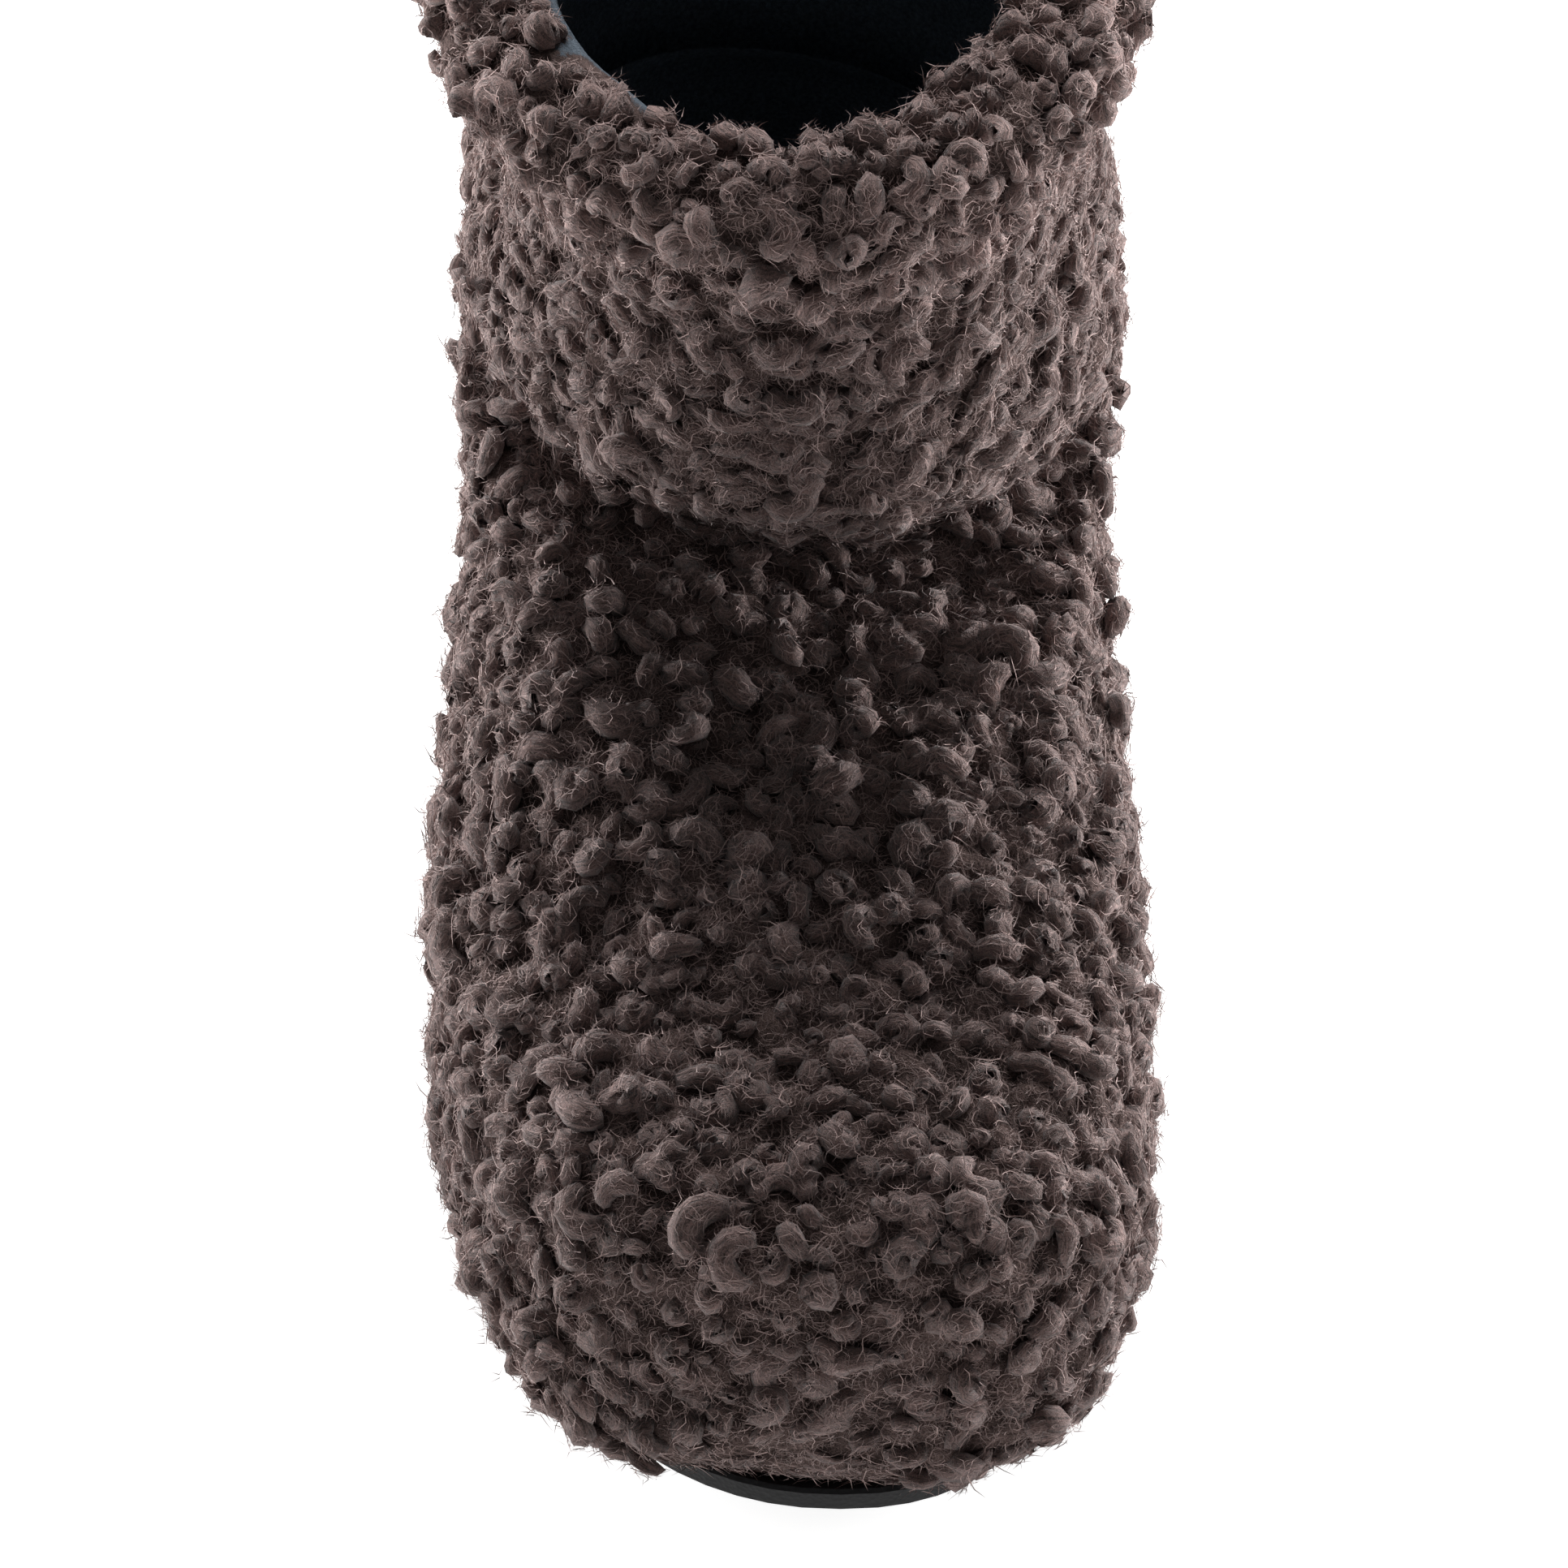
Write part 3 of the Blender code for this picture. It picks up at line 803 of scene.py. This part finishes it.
def stand(node, place, rng):
    """The turn and size of one curl, as a matrix."""
    growth = GROWTH[place.growth]
    x_axis = combed_way(node, place)
    turned = Matrix((x_axis, place.upright.cross(x_axis), place.upright)).transposed()
    yaw = rng.uniform(-math.pi, math.pi) * (1.0 - growth.comb) + (math.pi if rng.random() < 0.5 else 0.0)
    for axis in ("X", "Y"):
        tilt = math.radians(rng.uniform(-growth.tilt, growth.tilt))
        turned = turned @ Matrix.Rotation(tilt, 3, axis)
    turned = turned @ Matrix.Rotation(yaw, 3, "Z")
    size = growth.size * (1.0 + SIZE_SPREAD * rng.uniform(-1.0, 1.0))
    size *= 1.0 - CREASED_SMALLER * crease_depth(place.point)
    return turned @ Matrix.Diagonal((size, size, size * growth.height))


# %% Bending the copies apart
BENDS = ((0.75, 4.5), (0.28, 1.6))  # mm: how far points move, and over what length it changes
BEND_SEED = 7
noise.seed_set(BEND_SEED)  # the noise below starts from the clock unless it is given a seed


def bent(points):
    """Moves every point a little by where it is, so that no two copies stay alike."""
    out = points.copy()
    for far, length in BENDS:
        out += np.array([noise.noise_vector(p) for p in points / (length * MM)]) * far * MM
    return out


# %% [markdown]
# ### Thousands of copies in one piece
#
# Thousands of separate objects would be slow to join, so each group of curls is laid out in one
# go: every copy's points are worked out from its shape's points and its own matrix and place,
# and one mesh takes them all. Each copy also carries its tint and its own part of the streaks.

# %% Joining many copies into one mesh
STREAK_SHIFT = 50.0  # mm, so that every copy shows another part of the streaks
SHIFT_SEED = 3


def joined_copies(name, shapes, which, matrices, points, tints, bend):
    """One mesh from many copies. The arrays hold each copy's shape, matrix, place and tint."""
    places, fibres, shades, sizes, corners, first = [], [], [], [], [], 0
    shifts = np.random.default_rng(SHIFT_SEED).uniform(0.0, STREAK_SHIFT, (len(which), 3))
    for i in sorted(set(which)):
        mine, shape = np.flatnonzero(which == i), shapes[i]
        count = len(shape.points)
        turned = np.einsum("nij,vj->nvi", matrices[mine], shape.points)
        places.append((turned + points[mine][:, None]).reshape(-1, 3))
        fibres.append((shape.fibre[None] + shifts[mine][:, None]).reshape(-1, 3))
        shades.append(np.repeat(tints[mine], count))
        sizes.append(np.tile(shape.sizes, len(mine)))
        corners.append((shape.corners[None] + first + count * np.arange(len(mine))[:, None]).ravel())
        first += count * len(mine)
    places, sizes, corners = np.concatenate(places), np.concatenate(sizes), np.concatenate(corners)
    places = bent(places) if bend else places
    mesh = bpy.data.meshes.new(name)
    mesh.vertices.add(len(places))
    mesh.vertices.foreach_set("co", places.ravel())
    mesh.loops.add(len(corners))
    mesh.loops.foreach_set("vertex_index", corners)
    mesh.polygons.add(len(sizes))
    mesh.polygons.foreach_set("loop_start", np.concatenate([[0], np.cumsum(sizes)[:-1]]))
    fibre = mesh.attributes.new("fibre", "FLOAT_VECTOR", "POINT")
    fibre.data.foreach_set("vector", np.concatenate(fibres).ravel())
    tint = mesh.attributes.new("tint", "FLOAT", "POINT")
    tint.data.foreach_set("value", np.concatenate(shades))
    mesh.update(calc_edges=True)
    print(name, len(which), "copies,", int((sizes - 2).sum()), "triangles")
    return mesh


# %% [markdown]
# ### The look of the yarn
#
# The yarn is matt taupe polyester. Close to, it is fine fibre, some pale and some dark, which
# runs along each curl but strays and crosses, and it has a faint bloom where it is seen from
# the side. The streaks read the way along the yarn that each curl carries, so they follow it
# round, and a second, swirling pattern mixes in the fibres that stray.

# %% Yarn material
STREAK_MM = 0.32  # one bundle of fibres across, as coarse as it needs to be to show
STREAK_LENGTH_MM = 2.6
BLOOM = 0.25  # the faint sheen of fluffy yarn seen from the side


def yarn_material(name, dark, pale, bump_mm):
    """Matt fluffy yarn with streaks along its fibres, and a little lighter or darker curl by curl."""
    material, tree, shader = new_material(
        name, Roughness=0.95, Sheen_Weight=BLOOM, Sheen_Roughness=0.6, Specular_IOR_Level=0.1
    )
    coords = add_node(tree, "ShaderNodeTexCoord")
    fibre = add_node(tree, "ShaderNodeAttribute", {"attribute_name": "fibre"})
    tint = add_node(tree, "ShaderNodeAttribute", {"attribute_name": "tint"})
    stretch = {"_0": fibre.outputs["Vector"], "_1": (1 / STREAK_MM, 1 / STREAK_MM, 1 / STREAK_LENGTH_MM)}
    stretched = add_node(tree, "ShaderNodeVectorMath", {"operation": "MULTIPLY"}, **stretch)
    along = {"Vector": stretched.outputs[0], "Scale": 1.0, "Distortion": 0.8}
    swirl = {"Vector": coords.outputs["Object"], "Scale": 1 / (FIBRE_MM * MM), "Distortion": 2.5}
    streak = add_node(tree, "ShaderNodeTexNoise", Detail=3.0, **along)
    stray = add_node(tree, "ShaderNodeTexNoise", Detail=3.0, **swirl)
    halves = {"_0": 0.5, "_2": streak.outputs["Fac"], "_3": stray.outputs["Fac"]}
    mixed = add_node(tree, "ShaderNodeMix", {"data_type": "FLOAT"}, **halves)
    spread = add_node(tree, "ShaderNodeMapRange", _0=mixed.outputs[0], _1=0.38, _2=0.62)
    browns = {"_6": hex_colour(dark), "_7": hex_colour(pale)}
    colour = add_node(tree, "ShaderNodeMix", {"data_type": "RGBA"}, _0=spread.outputs[0], **browns)
    tinted = {"_0": colour.outputs[2], "Scale": tint.outputs["Fac"]}
    shaded = add_node(tree, "ShaderNodeVectorMath", {"operation": "SCALE"}, **tinted)
    height, distance = mixed.outputs[0], bump_mm * MM
    bump = add_node(tree, "ShaderNodeBump", Height=height, Strength=1.0, Distance=distance)
    tree.links.new(shaded.outputs[0], shader.inputs["Base Color"])
    tree.links.new(bump.outputs["Normal"], shader.inputs["Normal"])
    return material


# painted shade: the curls are painted darker than the loose fibres below, which are the same yarn, for
# the shade deep inside the yarn
curl_paint = yarn_material("boucle polyester yarn", "362c2a", "866d68", 0.50)
print("curls' material:", curl_paint.name)

# %% Growing the curls
TINT_SPREAD = 0.16
PAINTED_LIGHT_TINT = {"collar": 1.22}  # the collar's pile is painted paler, as painted light where light from above and behind catches the rim
CURL_SEED = 11
TOE_HALF = -0.03  # locks at the sole's edge join the toe's curls in front of here

curl_pieces = {}
for node, places in sown.items():
    rng = np.random.default_rng(CURL_SEED)
    groups = {}
    for place in places:
        kinds = GROWTH[place.growth].kinds.split()
        which = rng.choice(curls_of_kind[kinds[rng.integers(len(kinds))]])
        group = place.growth
        if group == "sole_edge":
            group = "toe" if place.point.y < TOE_HALF else "sides"
        # the collar's curls get painted light: they are painted paler
        tint = PAINTED_LIGHT_TINT.get(place.growth, 1.0) * (1.0 + TINT_SPREAD * rng.uniform(-1.0, 1.0))
        foot = place.point - place.upright * ROOTED
        groups.setdefault(group, []).append((which, stand(node, place, rng), foot, tint))
    for group, rows in groups.items():
        name = (group if node == "shaft" else "upper_" + group) + "_curls"
        columns = [np.array(column) for column in zip(*rows)]
        mesh = joined_copies(name, curl_shapes, *columns, True)
        curl_pieces.setdefault(node, []).append(add_piece(name, mesh, curl_paint))

# %% [markdown]
# ## Fuzz
#
# Boucle looks soft because thousands of fine curly fibres stand off its curls. They blur every
# outline, bridge the gaps and catch the light. Each is a thin arc, a grid one face wide that is
# bent and drawn in to points. An arc is dropped onto the pile from above wherever it happens
# to land. Most cling to the curl that they land on and follow its yarn, and the rest are
# strays, which lie any way and spring up at one end.

# %% A fine fibre
FUZZ_SHAPES = 10  # of each sort, clinging and stray
FUZZ_STEPS = 3
FUZZ_WIDTH = 0.14  # mm, a few fibres together, since a single one is too fine to show
# the least and the most of each size, in mm, and how far the fibre bends, in radians
CLINGING = {"length": (2.0, 4.0), "bend": (0.7, 2.6), "spring": (0.0, 0.25)}
STRAY = {"length": (2.8, 5.5), "bend": (1.5, 3.6), "spring": (0.4, 1.5)}
CLINGING_LIFT = (0.03, 0.15)
STRAY_LIFT = 0.25
FUZZ_ROLL = 0.9  # radians that a fibre's flat side may turn either way


def fuzz_shape(seed, stray):
    """A thin curved fibre with pointed ends. One end of a stray one springs up."""
    rng = np.random.default_rng(seed)
    sizes = STRAY if stray else CLINGING
    length, bend, spring = (rng.uniform(*sizes[name]) for name in ("length", "bend", "spring"))
    lift = STRAY_LIFT if stray else rng.uniform(*CLINGING_LIFT)
    roll = rng.uniform(-FUZZ_ROLL, FUZZ_ROLL)
    reach = length / bend
    shape = bmesh.new()
    layer = shape.verts.layers.float_vector.new("fibre")
    bmesh.ops.create_grid(shape, x_segments=1, y_segments=FUZZ_STEPS, size=1.0)
    for vertex in shape.verts:
        edge, u = vertex.co.x, vertex.co.y
        turn = bend * u / 2.0
        c, s = math.cos(turn), math.sin(turn)
        across_fibre = Vector((-s * math.cos(roll), c * math.cos(roll), math.sin(roll)))
        middle = Vector((reach * s, reach * (1.0 - c), lift + spring * (0.5 + 0.5 * u) ** 2))
        vertex.co = middle + across_fibre * (FUZZ_WIDTH / 2.0 * edge * (1.0 - u * u))
        vertex[layer] = Vector((0.0, 0.0, u * length / 2.0))
    return arrays_of(shape, layer)


fuzz_shapes = [fuzz_shape(seed, seed >= FUZZ_SHAPES) for seed in range(2 * FUZZ_SHAPES)]
# painted light: the loose fibres are painted paler than the curls, which are the same yarn, for the light
# that their free fibres catch
fuzz_paint = yarn_material("loose boucle fibres", "6f5d5a", "a68f8a", 0.0)
print("triangles of one fibre:", int((fuzz_shapes[0].sizes - 2).sum()))

# %% Dropping the fibres onto the pile
FUZZ_COUNT = {"upper": 84000, "shaft": 58000}
DROP = 9.0 * MM
LEAN_UP = 0.3  # how much a fibre on a curl's side leans towards the cloth's own way up
Dropped = namedtuple("Dropped", "points ways alongs")


def along_faces(mesh, faces):
    """The direction in which the yarn runs at some faces of a mesh of curls."""
    co, fibre = np.empty((2, len(mesh.vertices) * 3), np.float32)
    mesh.vertices.foreach_get("co", co)
    mesh.attributes["fibre"].data.foreach_get("vector", fibre)
    co, along = co.reshape(-1, 3).astype(float) / MM, fibre.reshape(-1, 3)[:, 2].astype(float)
    corners = np.array([mesh.polygons[f].vertices[:3] for f in faces])
    first, second, third = corners.T
    side_a, side_b = co[second] - co[first], co[third] - co[first]
    rise_a, rise_b = along[second] - along[first], along[third] - along[first]
    aa, ab, bb = (side_a**2).sum(1), (side_a * side_b).sum(1), (side_b**2).sum(1)
    spread = aa * bb - ab**2 + 1e-9
    u, v = (rise_a * bb - rise_b * ab) / spread, (rise_b * aa - rise_a * ab) / spread
    return u[:, None] * side_a + v[:, None] * side_b


def dropped(node, count, seed):
    """Where fibres land on a node's curls and cloth: the points, the way up, and how the yarn runs."""
    skin = thrown(node, count, np.random.default_rng(seed))
    trees = [tree_of(piece.data) for piece in curl_pieces[node]] + [BVHTree.FromBMesh(cloth[node])]
    points, ways, alongs = skin.points.copy(), skin.uprights.copy(), np.zeros((count, 3))
    landed = {}
    for i, (point, upright) in enumerate(zip(skin.points, skin.uprights)):
        start, down = Vector(point + upright * DROP), -Vector(upright)
        hits = [(tree.ray_cast(start, down, DROP), k) for k, tree in enumerate(trees)]
        hits = [(hit, k) for hit, k in hits if hit[0] is not None]
        if hits:
            (place, way, face, _), k = min(hits, key=lambda found: found[0][3])
            points[i], ways[i] = place, (way + Vector(upright) * LEAN_UP).normalized()
            landed.setdefault(k, []).append((i, face))
    for k, piece in enumerate(curl_pieces[node]):
        rows = np.array(landed.get(k, []), int).reshape(-1, 2)
        if len(rows):
            alongs[rows[:, 0]] = along_faces(piece.data, rows[:, 1])
    print(node, "fibres:", count, "of them on curls:", int((np.abs(alongs).sum(1) > 0).sum()))
    return Dropped(points, ways, alongs)


# %% Laying the fibres along the yarn
STRAY_SHARE = 0.40
WANDER = 0.30  # radians by which a clinging fibre strays from its yarn
FIBRE_SIZES = (0.7, 1.3)


def lying(fall, strays, node, rng):
    """Turns for fibres. On a curl they follow the yarn, elsewhere they lie any way, as strays do."""
    level = np.array([0.0, 0.0, 1.0]) if node == "shaft" else np.array([1.0, 0.0, 0.0])
    loose = strays | (np.linalg.norm(fall.alongs, axis=1) < 1e-6)
    x_axes = np.where(loose[:, None], np.cross(level, fall.ways), fall.alongs)
    x_axes -= fall.ways * (x_axes * fall.ways).sum(1)[:, None]
    x_axes /= np.linalg.norm(x_axes, axis=1)[:, None] + 1e-9
    y_axes = np.cross(fall.ways, x_axes)
    count = len(loose)
    any_way = rng.uniform(-math.pi, math.pi, count)
    with_yarn = rng.normal(0.0, WANDER, count) + math.pi * rng.integers(2, size=count)
    yaw = np.where(loose, any_way, with_yarn)
    c, s = np.cos(yaw)[:, None], np.sin(yaw)[:, None]
    size = rng.uniform(*FIBRE_SIZES, count)[:, None, None]
    return np.stack([c * x_axes + s * y_axes, c * y_axes - s * x_axes, fall.ways], axis=2) * size


# %% Growing the fuzz
FUZZ_SEED, DROP_SEED = 23, 29
FIBRE_TINTS = (0.65, 1.25)

for node, count in FUZZ_COUNT.items():
    rng = np.random.default_rng(FUZZ_SEED)
    fall = dropped(node, count, DROP_SEED)
    strays = rng.random(count) < STRAY_SHARE
    matrices = lying(fall, strays, node, rng)
    which = rng.integers(FUZZ_SHAPES, size=count) + FUZZ_SHAPES * strays
    tints = rng.uniform(*FIBRE_TINTS, count)
    groups = np.array([growth_at(node, Vector(point)) for point in fall.points])
    for group in sorted(set(groups)):
        mine = groups == group
        name = (group if node == "shaft" else "upper_" + group) + "_fuzz"
        # the collar's fibres get the same painted light as its curls
        lit_tints = tints[mine] * PAINTED_LIGHT_TINT.get(group, 1.0)
        rows = which[mine], matrices[mine], fall.points[mine], lit_tints
        mesh = joined_copies(name, fuzz_shapes, *rows, False)
        add_piece(name, mesh, fuzz_paint)

# %% [markdown]
# ## Sole and insole
#
# The outsole is a thin black rubber sheet, moulded with a fine grain. The insole is the same
# fleece as the lining. Both keep the plain model's shape and get their own finish.

# %% Rubber and fleece
GRAIN_MM = 0.8  # one pip of the moulded grain
rubber, tree, shader = new_material(
    "moulded black rubber", Base_Color=hex_colour("0e0e10"), Roughness=0.62, Specular_IOR_Level=0.3
)
coords = add_node(tree, "ShaderNodeTexCoord")
grain = add_node(tree, "ShaderNodeTexVoronoi", Vector=coords.outputs["Object"], Scale=1 / (GRAIN_MM * MM))
height = grain.outputs["Distance"]
bump = add_node(tree, "ShaderNodeBump", Height=height, Strength=0.5, Distance=0.15 * MM)
tree.links.new(bump.outputs["Normal"], shader.inputs["Normal"])

footbed, tree, shader = new_material("brushed polyester fleece", Roughness=1.0)
coords = add_node(tree, "ShaderNodeTexCoord")
nap, fleece = fleece_pattern(tree, coords)
bump = add_node(tree, "ShaderNodeBump", Height=nap.outputs["Fac"], Strength=0.8, Distance=0.5 * MM)
tree.links.new(fleece.outputs[2], shader.inputs["Base Color"])
tree.links.new(bump.outputs["Normal"], shader.inputs["Normal"])

for node, finish in (("outsole", rubber), ("insole", footbed)):
    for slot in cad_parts[node].material_slots:
        slot.material = finish
    print(node, "finish:", finish.name)
